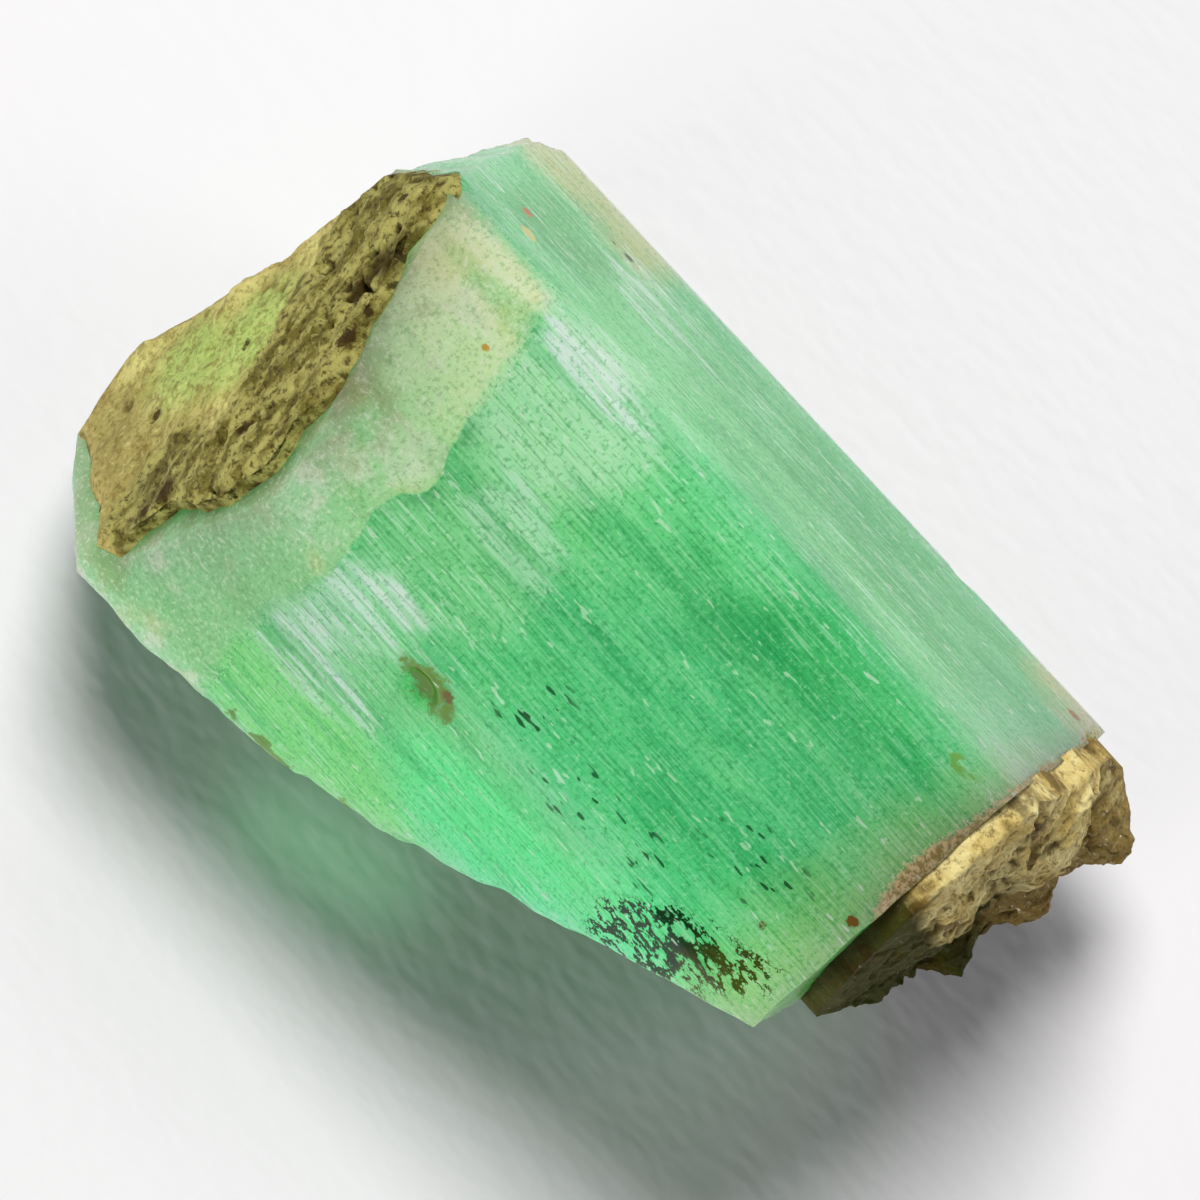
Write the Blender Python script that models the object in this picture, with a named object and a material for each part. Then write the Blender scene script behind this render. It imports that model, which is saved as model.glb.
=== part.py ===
"""Emerald crystal: a six-sided beryl prism that lies on one of its prism faces.

Its axis runs along X. The end at -X broke off aslant and wears a thin crust of brown
host rock, and the end at +X still carries a lump of pale host rock. One long edge is
broken away underneath. The script works in metres, with +Z up and the floor at Z = 0.
"""

import math
import random

import bmesh
import bpy
import numpy
from mathutils import Matrix, Vector, noise

MM = 0.001

# Driving dimensions of the prism
FLAT_TO_FLAT = 8.8 * MM
APOTHEM = FLAT_TO_FLAT / 2
ROD_HALF_LENGTH = 9.5 * MM
AXIS_POINT = Vector((0, 0, APOTHEM))
MIDDLE_OF_WHOLE = Vector((-0.01 * MM, 0.035 * MM, 0.0))

# Blocks that cut the breaks: wide and deep enough to clear the rod
BLOCK_HALF_WIDTH = 12.0 * MM
BLOCK_DEPTH = 20.0 * MM

# Growth lines: shallow steps that run along the prism faces. A step is flat between two
# shares of its width, and its height drifts from station to station by a share of itself.
STEPS_PER_FACE = 8
STEP_HEIGHT = 0.05 * MM
STEP_STATIONS = 7
STEP_FLAT = (0.12, 0.88)
STEP_DRIFT = 0.3

# The two faces at +Y stand off a little more towards +X, by this share of X
SIDE_TAPER = 0.012

# The two skins of host rock
PIECE_GAP = 0.25 * MM
CRUST_THICKNESS = 0.38 * MM
CRUST_INSET = 0.02 * MM

# The frosted layer that grew over the slanted end, as steps above the prism faces
FROST_HEIGHT = 0.09 * MM
FROST_STEP_HEIGHT = 0.01 * MM
FROST_LOW = APOTHEM + 0.4 * MM
FROST_HIGH = 10 * MM

# Breaks: the way that each one faces, and its distance from the middle of the prism
SLANTED_END = ((-0.784, -0.303, 0.543), 6.14 * MM)
BACK_OF_END = ((-0.986, 0.161, 0.046), 6.92 * MM)
STEP_IN_END = ((-0.752, 0.619, -0.226), 5.10 * MM)
UPPER_CORNER = ((-0.776, 0.516, 0.364), 7.22 * MM)
LOWER_END = ((-0.944, -0.167, -0.283), 8.20 * MM)
FRONT_CORNER = ((-0.654, -0.753, 0.080), 7.36 * MM)
ROCK_END = ((0.992, 0.020, -0.125), 6.61 * MM)
LONG_BREAK = ((0.153, -0.968, -0.198), 4.18 * MM)
UNDERCUT = ((0.400, -0.831, -0.388), 3.46 * MM)

# How rough each break is: height of its relief, size of its grains, and cells of its block
BREAK_TEXTURES = {
    "slanted_end": (0.04 * MM, 1.6 * MM, 18),
    "back_of_end": (0.12 * MM, 1.5 * MM, 48),
    "upper_corner": (0.12 * MM, 1.3 * MM, 48),
    "lower_end": (0.10 * MM, 1.6 * MM, 48),
    "front_corner": (0.10 * MM, 0.7 * MM, 60),
    "rock_end": (0.04 * MM, 1.2 * MM, 24),
    "long_break": (0.18 * MM, 2.0 * MM, 48),
    "undercut": (0.20 * MM, 2.0 * MM, 48),
    "crust_face": (0.13 * MM, 0.8 * MM, 84),
    "crust_rim": (0.07 * MM, 0.8 * MM, 48),
}
PLAIN = (0.0, 1.0 * MM, 1)

# The edge of the frosted layer in millimetres, seen from above, as corners (x, y)
FROST_EDGE = (
    (-2.85, -5.60),
    (-2.80, -4.13),
    (-2.66, -3.63),
    (-2.34, -3.20),
    (-2.12, -2.74),
    (-2.15, -2.15),
    (-2.36, -1.75),
    (-2.28, -1.26),
    (-2.07, -0.92),
    (-2.10, -0.55),
    (-2.36, -0.20),
    (-2.52, 0.23),
    (-2.74, 1.11),
    (-2.80, 1.50),
    (-3.02, 1.95),
    (-3.12, 2.40),
)

# Chips and pits in millimetres: middle, radii along X, Y and Z, and how lumpy they are
PIT_SWELL = 0.12
PIT_GRAIN = 0.6 * MM
CHIPS = {
    "notch_in_back_edge": ((3.35, 5.30, 4.45), (0.36, 0.26, 0.50)),
    "chip_at_rock_corner": ((6.95, 5.10, 5.00), (0.60, 0.45, 0.80)),
    "worn_back_corner": ((-6.65, 5.05, 4.55), (0.62, 0.42, 0.90)),
    "worn_near_corner": ((7.35, -3.15, 8.05), (0.55, 0.42, 0.85)),
    "chip_by_slanted_end": ((-5.55, 2.85, 8.95), (0.50, 0.40, 0.35)),
    "pit_in_top_face": ((1.25, 0.35, 8.90), (0.42, 0.34, 0.22)),
    "stained_pit": ((0.02, -2.95, 8.36), (0.42, 0.36, 0.28)),
    "etched_groove": ((-1.62, 2.12, 8.88), (0.42, 0.10, 0.16)),
}

# The host rock on the end at +X, in millimetres: its outline (y, z) on the broken end,
# and the bumps of its outer side as middle (y, z), radii and height
ROCK_OUTLINE = (
    (4.55, 5.20),
    (3.65, 6.85),
    (2.65, 8.40),
    (1.50, 8.70),
    (0.60, 8.66),
    (0.05, 8.28),
    (-0.60, 7.44),
    (-1.10, 6.36),
    (-1.05, 4.60),
    (-0.60, 3.00),
    (0.05, 1.70),
    (1.00, 0.75),
    (2.30, 0.35),
    (3.35, 0.55),
    (4.30, 1.60),
    (4.90, 2.80),
    (5.00, 4.10),
)
ROCK_MIDDLE = (2.10, 4.60)
ROCK_BUMPS = (
    ((4.55, 2.75), (0.95, 1.25), 1.50),
    ((3.10, 5.40), (0.95, 2.10), 0.55),
    ((3.10, 0.95), (0.85, 1.10), 1.20),
    ((0.95, 6.20), (0.90, 1.70), 0.40),
    ((1.60, 0.85), (0.55, 0.65), 1.05),
    ((0.25, 2.60), (0.70, 1.10), 0.25),
)
ROCK_BASE = 0.24
ROCK_LEAST = 0.12
ROCK_RELIEF = 0.16
ROCK_GRAIN = 0.9 * MM
ROCK_CELLS = (24, 30)
ROCK_MARGIN = 0.3
RIM_FALL = 0.85
OUTLINE_START = 4 * MM
OUTLINE_LENGTH = 6 * MM


def material(name, colour, roughness, transmission=0.0):
    """A Principled material with one plain colour."""
    made = bpy.data.materials.new(name)
    made.use_nodes = True
    shader = made.node_tree.nodes["Principled BSDF"]
    shader.inputs["Base Color"].default_value = (*colour, 1.0)
    shader.inputs["Roughness"].default_value = roughness
    shader.inputs["Transmission Weight"].default_value = transmission
    shader.inputs["IOR"].default_value = 1.57
    return made


def solid_from(bm, name):
    """Closes the bmesh as an object with all of its faces pointing outwards."""
    bmesh.ops.recalc_face_normals(bm, faces=bm.faces)
    mesh = bpy.data.meshes.new(name)
    bm.to_mesh(mesh)
    bm.free()
    made = bpy.data.objects.new(name, mesh)
    bpy.context.scene.collection.objects.link(made)
    return made


def helper_from(bm, name):
    """A cutter or another helper: it shapes its neighbours and isn't a piece itself."""
    made = solid_from(bm, name)
    made.hide_render = True
    made.display_type = "WIRE"
    return made


def combine(target, tool, operation):
    """Adds a Boolean modifier with the exact solver."""
    modifier = target.modifiers.new(tool.name, "BOOLEAN")
    modifier.operation = operation
    modifier.object = tool
    modifier.solver = "EXACT"


def stepped_outline(apothem, heights):
    """Points (y, z) round the hexagon, with one flat step for each height on each side.

    Side k faces the direction 90 - 60 k degrees, so side 0 is the top and side 3 the base.
    """
    points = []
    corner = apothem / math.cos(math.radians(30))
    for side in range(6):
        start, end = (math.radians(120 - 60 * (side + i)) for i in (0, 1))
        a = Vector((math.cos(start), math.sin(start))) * corner
        b = Vector((math.cos(end), math.sin(end))) * corner
        outwards = (a + b).normalized()
        steps = heights[side]
        for k, height in enumerate(steps):
            for flat in STEP_FLAT:
                points.append(a.lerp(b, (k + flat) / len(steps)) + outwards * height)
    return points


def hexagonal_rod(name, apothem, stations, step_height, seed):
    """A six-sided rod along X, whose faces carry lengthwise steps that drift a little."""
    rng = random.Random(seed)
    heights = [
        [rng.uniform(-1, 0) * step_height for _ in range(STEPS_PER_FACE)] for _ in range(6)
    ]
    heights[3] = [0.0] * STEPS_PER_FACE
    bm = bmesh.new()
    rings = []
    for station in range(stations):
        x = ROD_HALF_LENGTH * (2 * station / (stations - 1) - 1)
        widening = [0.0, SIDE_TAPER * x, SIDE_TAPER * x, 0.0, 0.0, 0.0]
        drifts = [step_height * (side != 3) for side in range(6)]
        drifted = [
            [h + widening[side] + rng.uniform(-STEP_DRIFT, STEP_DRIFT) * drifts[side] for h in row]
            for side, row in enumerate(heights)
        ]
        outline = stepped_outline(apothem, drifted)
        rings.append([bm.verts.new((x, y, APOTHEM + z)) for y, z in outline])
    for ring, after in zip(rings, rings[1:]):
        for k in range(len(ring)):
            n = (k + 1) % len(ring)
            bm.faces.new((ring[k], ring[n], after[n], after[k]))
    bm.faces.new(rings[0])
    bm.faces.new(reversed(rings[-1]))
    return solid_from(bm, name)


def facing(normal):
    """A turn that takes +Z to the normal."""
    return Vector(normal).normalized().to_track_quat("Z", "Y").to_matrix().to_4x4()


def rough_height(point, scale, seed):
    """Fractal noise from about -1 to 1 at a point, for grains of about the given size."""
    offset = Vector((seed * 7.3, seed * 3.1, seed * 5.7))
    return noise.fractal(point / scale + offset, 1.0, 2.0, 4)


def cleaver(name, plane, texture, inwards=0.0, seed=0):
    """A block that fills the space outside one break, with relief on its inner side."""
    normal, distance = plane
    relief, grain, cells = texture
    bm = bmesh.new()
    bmesh.ops.create_grid(bm, x_segments=cells, y_segments=cells, size=BLOCK_HALF_WIDTH)
    turn = facing(normal)
    base = AXIS_POINT + Vector(normal).normalized() * (distance - inwards)
    for vert in bm.verts:
        lift = relief * rough_height(vert.co, grain, seed)
        vert.co = base + turn.to_3x3() @ (vert.co + Vector((0, 0, lift)))
    grown = bmesh.ops.extrude_face_region(bm, geom=bm.faces[:])
    outer = [v for v in grown["geom"] if isinstance(v, bmesh.types.BMVert)]
    bmesh.ops.translate(bm, verts=outer, vec=Vector(normal).normalized() * BLOCK_DEPTH)
    return helper_from(bm, name)


def half_space(name, plane, shift):
    """A plain block that fills the space outside a plane, moved out by the shift."""
    return cleaver(name, plane, PLAIN, inwards=-shift)


def extruded_outline(name, outline, low, high):
    """A prism that stands on an outline of points (x, y) in millimetres."""
    bm = bmesh.new()
    ring = [bm.verts.new((x * MM, y * MM, low)) for x, y in outline]
    face = bm.faces.new(ring)
    grown = bmesh.ops.extrude_face_region(bm, geom=[face])
    top = [v for v in grown["geom"] if isinstance(v, bmesh.types.BMVert)]
    bmesh.ops.translate(bm, verts=top, vec=(0, 0, high - low))
    return helper_from(bm, name)


def rough_pit(name, middle, radii, seed):
    """A cutter for a chip or a pit: a lumpy ball squeezed to three radii."""
    bm = bmesh.new()
    bmesh.ops.create_icosphere(bm, subdivisions=3, radius=1.0)
    centre = Vector(middle) * MM
    sizes = Matrix.Diagonal(Vector(radii) * MM)
    for vert in bm.verts:
        point = sizes @ vert.co
        swell = 1 + PIT_SWELL * rough_height(point + centre, PIT_GRAIN, seed)
        vert.co = centre + point * swell
    return helper_from(bm, name)


def frosted_layer(rod):
    """Adds the part of a slightly wider rod that lies on the slanted end's side of an edge."""
    wider = APOTHEM + FROST_HEIGHT
    layer = hexagonal_rod("frosted_layer", wider, 2, FROST_STEP_HEIGHT, seed=5)
    layer.hide_render = True
    layer.display_type = "WIRE"
    far_end = -ROD_HALF_LENGTH / MM + 0.5
    outline = ((far_end, FROST_EDGE[0][1]), *FROST_EDGE, (far_end, FROST_EDGE[-1][1]))
    block = extruded_outline("frost_outline", outline, FROST_LOW, FROST_HIGH)
    combine(layer, block, "INTERSECT")
    combine(rod, layer, "UNION")


def back_break():
    """The break behind the slanted end, which stops at a step and leaves the front standing."""
    tool = cleaver("back_of_end", BACK_OF_END, BREAK_TEXTURES["back_of_end"], seed=2)
    normal, distance = STEP_IN_END
    inner = (tuple(-x for x in normal), -distance)
    combine(tool, half_space("in_front_of_step", inner, 0.0), "DIFFERENCE")
    return tool


def emerald_crystal():
    """The beryl prism: a stepped rod, its frosted layer, and then every break and chip."""
    crystal = hexagonal_rod("emerald_crystal", APOTHEM, STEP_STATIONS, STEP_HEIGHT, seed=3)
    frosted_layer(crystal)
    under_crust = CRUST_THICKNESS + PIECE_GAP
    cuts = {
        "slanted_end": (SLANTED_END, under_crust, 1),
        "upper_corner": (UPPER_CORNER, 0.0, 3),
        "lower_end": (LOWER_END, 0.0, 4),
        "front_corner": (FRONT_CORNER, 0.0, 5),
        "rock_end": (ROCK_END, 0.0, 6),
        "long_break": (LONG_BREAK, 0.0, 7),
        "undercut": (UNDERCUT, 0.0, 8),
    }
    for name, (plane, inwards, seed) in cuts.items():
        tool = cleaver(name, plane, BREAK_TEXTURES[name], inwards, seed)
        combine(crystal, tool, "DIFFERENCE")
    combine(crystal, back_break(), "DIFFERENCE")
    for seed, (name, (middle, radii)) in enumerate(CHIPS.items()):
        combine(crystal, rough_pit(name, middle, radii, seed + 20), "DIFFERENCE")
    crystal.data.materials.append(material("emerald", (0.16, 0.52, 0.29), 0.25, 0.8))
    return crystal


def brown_crust():
    """The thin granular skin of host rock that covers the slanted end."""
    crust = hexagonal_rod("brown_crust", APOTHEM - CRUST_INSET, 2, 0.0, seed=1)
    outer = cleaver("crust_face", SLANTED_END, BREAK_TEXTURES["crust_face"], seed=11)
    combine(crust, outer, "DIFFERENCE")
    normal, distance = SLANTED_END
    inner = (tuple(-x for x in normal), -distance)
    combine(crust, half_space("crust_back", inner, CRUST_THICKNESS), "DIFFERENCE")
    combine(crust, back_break(), "DIFFERENCE")
    rims = (UPPER_CORNER, LOWER_END, FRONT_CORNER)
    for k, plane in enumerate(rims):
        tool = cleaver(f"crust_rim_{k}", plane, BREAK_TEXTURES["crust_rim"], seed=5 + k)
        combine(crust, tool, "DIFFERENCE")
    crust.data.materials.append(material("brown_rock", (0.20, 0.15, 0.07), 0.9))
    return crust


def on_rock_end(y, z, height):
    """The point at a height above the broken end at +X, from its place (y, z) there."""
    normal, distance = ROCK_END
    nx, ny, nz = Vector(normal).normalized()
    x = (distance - ny * y - nz * (z - APOTHEM)) / nx
    return Vector((x + height, y, z))


def share_of_reach(y, z):
    """How far out a place (y, z) lies: 0 at the rock's middle and 1 on its outline."""
    corners = numpy.array(ROCK_OUTLINE) - ROCK_MIDDLE
    directions = numpy.arctan2(corners[:, 1], corners[:, 0])
    distances = numpy.hypot(corners[:, 0], corners[:, 1]) * MM
    y, z = y - ROCK_MIDDLE[0] * MM, z - ROCK_MIDDLE[1] * MM
    reach = numpy.interp(math.atan2(z, y), directions, distances, period=2 * math.pi)
    return math.hypot(y, z) / reach


def rock_height(y, z):
    """Thickness of the host rock at (y, z): a base, a few bumps and relief, less at the rim."""
    total = ROCK_BASE
    for (cy, cz), (ry, rz), height in ROCK_BUMPS:
        total += height * math.exp(-(((y / MM - cy) / ry) ** 2) - ((z / MM - cz) / rz) ** 2)
    total += ROCK_RELIEF * rough_height(Vector((0, y, z)), ROCK_GRAIN, 41)
    rim = min(share_of_reach(y, z), 1.0)
    return max(total, ROCK_LEAST) * MM * math.sqrt(1 - RIM_FALL * rim**4)


def host_rock():
    """The lump of pale host rock on the other end: flat behind, lumpy and thick in front."""
    lows = [min(corner[k] for corner in ROCK_OUTLINE) - ROCK_MARGIN for k in (0, 1)]
    highs = [max(corner[k] for corner in ROCK_OUTLINE) + ROCK_MARGIN for k in (0, 1)]
    bm = bmesh.new()
    bmesh.ops.create_grid(bm, x_segments=ROCK_CELLS[0], y_segments=ROCK_CELLS[1], size=0.5)
    for vert in bm.verts:
        y = (lows[0] + (vert.co.x + 0.5) * (highs[0] - lows[0])) * MM
        z = (lows[1] + (vert.co.y + 0.5) * (highs[1] - lows[1])) * MM
        vert.co = on_rock_end(y, z, PIECE_GAP + rock_height(y, z))
    grown = bmesh.ops.extrude_face_region(bm, geom=bm.faces[:])
    for vert in (v for v in grown["geom"] if isinstance(v, bmesh.types.BMVert)):
        vert.co = on_rock_end(vert.co.y, vert.co.z, PIECE_GAP)
    rock = solid_from(bm, "host_rock")
    bm = bmesh.new()
    ring = [bm.verts.new((OUTLINE_START, y * MM, z * MM)) for y, z in ROCK_OUTLINE]
    grown = bmesh.ops.extrude_face_region(bm, geom=[bm.faces.new(ring)])
    far = [v for v in grown["geom"] if isinstance(v, bmesh.types.BMVert)]
    bmesh.ops.translate(bm, verts=far, vec=(OUTLINE_LENGTH, 0, 0))
    combine(rock, helper_from(bm, "rock_outline"), "INTERSECT")
    rock.data.materials.append(material("pale_rock", (0.52, 0.42, 0.25), 0.9))
    return rock


def clear_scene():
    """Removes every object that the file holds."""
    for old in list(bpy.data.objects):
        bpy.data.objects.remove(old, do_unlink=True)


def main():
    clear_scene()
    holder = bpy.data.objects.new("emerald", None)
    bpy.context.scene.collection.objects.link(holder)
    emerald_crystal()
    brown_crust()
    host_rock()
    for made in list(bpy.context.scene.collection.objects):
        if made is not holder:
            made.parent = holder
    holder.location = -MIDDLE_OF_WHOLE


main()
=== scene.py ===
# %% [markdown]
# # A rough emerald on white paper
#
# The object is a six-sided prism of green beryl, as long as a fingernail is wide. It
# lies on one of its prism faces. Both ends are broken: the upper left one aslant, under a
# thin crust of brown rock, and the lower right one under a lump of paler rock.
#
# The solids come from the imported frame. This script makes the surfaces that the eye sees:
# the fine relief, the colours, the light. Everything is worked out in millimetres, in
# axes that follow the crystal, and moved into the frame's metres at the very end.

# %% Load the frame
import math

import bpy
import numpy as np
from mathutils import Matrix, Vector


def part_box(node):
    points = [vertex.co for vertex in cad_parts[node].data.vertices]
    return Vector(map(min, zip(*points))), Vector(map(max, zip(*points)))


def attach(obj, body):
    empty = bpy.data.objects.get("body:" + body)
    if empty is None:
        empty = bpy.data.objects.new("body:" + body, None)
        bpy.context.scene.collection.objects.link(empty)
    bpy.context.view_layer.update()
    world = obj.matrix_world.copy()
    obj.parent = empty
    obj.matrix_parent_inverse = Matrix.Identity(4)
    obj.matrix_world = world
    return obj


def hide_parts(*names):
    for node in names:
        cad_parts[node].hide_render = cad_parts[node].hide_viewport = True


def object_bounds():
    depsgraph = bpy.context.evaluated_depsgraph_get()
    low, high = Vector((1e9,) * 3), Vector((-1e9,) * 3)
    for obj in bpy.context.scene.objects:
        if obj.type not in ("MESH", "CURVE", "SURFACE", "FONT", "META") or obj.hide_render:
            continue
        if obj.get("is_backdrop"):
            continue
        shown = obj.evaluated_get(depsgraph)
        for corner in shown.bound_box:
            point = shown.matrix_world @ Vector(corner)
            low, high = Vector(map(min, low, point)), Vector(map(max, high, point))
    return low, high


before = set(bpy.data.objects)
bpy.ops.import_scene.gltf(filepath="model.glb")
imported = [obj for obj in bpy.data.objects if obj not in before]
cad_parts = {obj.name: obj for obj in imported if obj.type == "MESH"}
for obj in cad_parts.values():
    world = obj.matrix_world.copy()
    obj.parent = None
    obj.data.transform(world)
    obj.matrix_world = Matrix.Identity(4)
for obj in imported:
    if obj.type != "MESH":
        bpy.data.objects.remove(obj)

MM = 0.001
cad_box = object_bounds()
crystal_low, crystal_high = (np.array(corner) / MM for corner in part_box("emerald_crystal"))
print("CAD box, mm:", [round(c / MM, 2) for corner in cad_box for c in corner])

# %% [markdown]
# ## Axes and planes
#
# A crystal is described best by its planes: each has a direction and a distance from the
# middle of the prism. Beryl's six prism faces are 60 degrees apart, all at the same
# distance, the apothem. The breaks are planes too, only rougher. The apothem is read from
# the frame: the crystal's height is two apothems and the frosted layer on top.

# %% The planes of the crystal
FROST_HEIGHT = 0.09
APOTHEM = (crystal_high[2] - crystal_low[2] - FROST_HEIGHT) / 2
FACE_WIDTH = 2 * APOTHEM / math.sqrt(3)
PRISM_MIDDLE = np.array([0.010, -0.035, APOTHEM])
FACE_ANGLES = np.radians([90, 30, -30, -90, -150, 150])
SIDE_TAPER = 0.012

SLANTED_END = ((-0.784, -0.303, 0.543), 6.14)
BACK_OF_END = ((-0.986, 0.161, 0.046), 6.92)
STEP_IN_END = ((-0.752, 0.619, -0.226), 5.10)
UPPER_CORNER = ((-0.776, 0.516, 0.364), 7.22)
LOWER_END = ((-0.944, -0.167, -0.283), 8.20)
FRONT_CORNER = ((-0.654, -0.753, 0.080), 7.36)
ROCK_END = ((0.992, 0.020, -0.125), 6.61)
LONG_BREAK = ((0.153, -0.968, -0.198), 4.18)
UNDERCUT = ((0.400, -0.831, -0.388), 3.46)


def unit_plane(plane):
    """The plane with its normal made one long."""
    normal = np.array(plane[0])
    return normal / np.linalg.norm(normal), plane[1]


print("apothem, mm:", round(APOTHEM, 3), "face width, mm:", round(FACE_WIDTH, 3))

# %% [markdown]
# ## Noise as an array function
#
# Broken stone is rough at every size. Blender has noise for single points, but here whole
# grids are shaped at once, so a lattice noise in numpy does the work: random values on a
# lattice, blended between its corners, and summed over octaves that get ever finer.

# %% Noise helpers
LATTICE = 32


def smooth(low, high, value):
    """0 below low, 1 above high, and a smooth S curve between them."""
    share = np.clip((value - low) / (high - low), 0, 1)
    return share * share * (3 - 2 * share)


def lattice_noise(points, seed):
    """Smooth noise from -1 to 1: random lattice values, blended with S-curve weights."""
    table = np.random.default_rng(seed).uniform(-1, 1, (LATTICE,) * 3)
    cell = np.floor(points).astype(int)
    share = points - cell
    share = share * share * (3 - 2 * share)
    total = np.zeros(points.shape[:-1])
    for corner in np.ndindex(2, 2, 2):
        index = (cell + corner) % LATTICE
        weight = np.prod(np.where(corner, share, 1 - share), axis=-1)
        total += weight * table[index[..., 0], index[..., 1], index[..., 2]]
    return total


def rough(points, grain, seed, octaves=4):
    """Fractal noise: octaves of lattice noise, each half as large and half as high."""
    total = np.zeros(points.shape[:-1])
    for octave in range(octaves):
        total += lattice_noise(points * 2**octave / grain, seed + octave) / 2**octave
    return total / (2 - 2.0 ** (1 - octaves))


sample = rough(np.random.default_rng(1).uniform(0, 9, (1000, 3)), 1.0, 1)
print("noise runs from", sample.min().round(2), "to", sample.max().round(2))

# %% [markdown]
# ## One way to close a skin
#
# Each piece is a closed skin made of rings: the first and the last shrink to a point, and
# the others go once round. One helper turns them into a mesh, with fans at both ends. The
# volume is the sum of the triangles' triple products, and its sign tells which way they look.


# %% Rings to mesh
def placed(name, data):
    """A new object at the origin, linked to the scene."""
    made = bpy.data.objects.new(name, data)
    bpy.context.scene.collection.objects.link(made)
    return made


def per_point(values):
    """Values per ring and spoke as one list, with a single entry for each end."""
    inside = values[1:-1].reshape(-1, *values.shape[2:])
    return np.concatenate([values[0, :1], inside, values[-1, :1]])


def carry(mesh, field, values):
    """Gives the mesh's points a value or a colour, from values per ring and spoke."""
    flat = per_point(values)
    if flat.ndim == 1:
        mesh.attributes.new(field, "FLOAT", "POINT").data.foreach_set("value", flat)
    else:
        opaque = np.hstack([flat, np.ones((len(flat), 1))]).ravel()
        mesh.attributes.new(field, "FLOAT_COLOR", "POINT").data.foreach_set("color", opaque)


def closed_skin(name, rings, fields=None):
    """A closed mesh object from rings (ring, spoke, xyz) in mm about the prism's middle.

    Fields are values per ring and spoke that the material reads by name.
    """
    count, spokes = rings.shape[:2]
    points = per_point(rings) + PRISM_MIDDLE
    index = 1 + np.arange((count - 2) * spokes).reshape(count - 2, spokes)
    after = np.roll(index, -1, axis=1)
    quads = np.stack([index[:-1], index[1:], after[1:], after[:-1]], -1).reshape(-1, 4)
    first, last = np.zeros(spokes, int), np.full(spokes, len(points) - 1)
    first_fan = np.stack([first, index[0], after[0]], -1)
    last_fan = np.stack([last, after[-1], index[-1]], -1)
    triangles = np.concatenate([first_fan, quads[:, :3], quads[:, [0, 2, 3]], last_fan])
    a, b, c = np.moveaxis(points[triangles], 1, 0)
    volume = (a * np.cross(b, c)).sum() / 6
    if volume < 0:
        quads, first_fan, last_fan = quads[:, ::-1], first_fan[:, ::-1], last_fan[:, ::-1]
    mesh = bpy.data.meshes.new(name)
    faces = [*first_fan.tolist(), *quads.tolist(), *last_fan.tolist()]
    mesh.from_pydata((points * MM).tolist(), [], faces)
    mesh.update()
    mesh.shade_smooth()
    for field, values in (fields or {}).items():
        carry(mesh, field, values)
    print(name, "has", len(triangles), "triangles and", round(abs(volume), 1), "mm3")
    return placed(name, mesh)


# %% [markdown]
# ## Relief of the prism faces
#
# Beryl grows in layers that spread along its prism faces, and each layer leaves a step.
# The steps are seen as fine lines along the prism, the striae. Here each face has a few
# broad steps and a sheet of noise that is drawn out thirty times along the axis. The
# bottom face stays flat, because the crystal rests on it.

# %% Striae, frosted layer and chips
STEPS_PER_FACE = 8
STEP_HEIGHT = 0.005
STRIA_LENGTH, STRIA_WIDTH = 5.0, 0.16
FROST_RELIEF, FROST_LUMPS, FROST_GRAINS = 0.05, 0.016, 0.012
FROST_LOW_SIDE = -1.6
SKIN_RELIEF = 0.05
step_heights = np.random.default_rng(3).uniform(-1, 0, (6, STEPS_PER_FACE)) * STEP_HEIGHT
step_heights[3] = 0
FINE_STRIAE = np.array([0.003, 0.004, 0.006, 0.0, 0.008, 0.006])

FROST_EDGE = np.array([
    (-5.60, -2.85), (-4.13, -2.80), (-3.63, -2.66), (-3.20, -2.34), (-2.74, -2.12),
    (-2.15, -2.15), (-1.75, -2.36), (-1.26, -2.28), (-0.92, -2.07), (-0.55, -2.10),
    (-0.20, -2.36), (0.23, -2.52), (1.11, -2.74), (1.50, -2.80), (1.95, -3.02), (2.40, -3.12),
])
FROST_RIGHT_END = 2.46

CHIPS = (
    ((3.35, 5.30, 0.05), (0.36, 0.30, 0.50), 0.16),
    ((6.95, 5.10, 0.60), (0.60, 0.60, 0.80), 0.22),
    ((-6.45, 5.00, 0.15), (0.75, 0.80, 0.90), 0.26),
    ((7.35, -3.15, 3.65), (0.55, 0.70, 0.85), 0.20),
    ((-5.55, 2.70, 4.40), (0.45, 0.45, 0.60), 0.12),
    ((1.25, 0.35, 4.40), (0.42, 0.34, 0.40), 0.012),
    ((0.02, -2.95, 3.80), (0.44, 0.38, 0.40), 0.16),
    ((-1.62, 2.12, 4.40), (0.42, 0.11, 0.30), 0.03),
)


def striae(face, across, x):
    """Relief of a prism face: steps across it, and noise drawn out along the axis."""
    slot = (across / FACE_WIDTH + 0.5) * STEPS_PER_FACE - 0.5
    low = np.clip(np.floor(slot).astype(int), 0, STEPS_PER_FACE - 1)
    high = np.clip(low + 1, 0, STEPS_PER_FACE - 1)
    share = smooth(0.36, 0.64, slot - np.floor(slot))
    steps = step_heights[face][low] * (1 - share) + step_heights[face][high] * share
    drawn_out = np.stack([x / STRIA_LENGTH, across / STRIA_WIDTH, np.full_like(x, face)], -1)
    return steps + FINE_STRIAE[face] * rough(drawn_out, 1.0, 11 + face, octaves=3)


def frost_distance(point):
    """How far inside the frosted layer a point lies, in mm, with a lobed edge."""
    edge = np.interp(point[..., 1], FROST_EDGE[:, 0], FROST_EDGE[:, 1])
    lobes = 0.10 * rough(point, 0.45, 31, octaves=3)
    right = FROST_RIGHT_END - point[..., 1] + 0.5 * lobes
    low_side = point[..., 2] - FROST_LOW_SIDE + 0.9 * rough(point, 1.6, 32)
    return np.minimum.reduce([edge - point[..., 0] + lobes, right, low_side])


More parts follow.
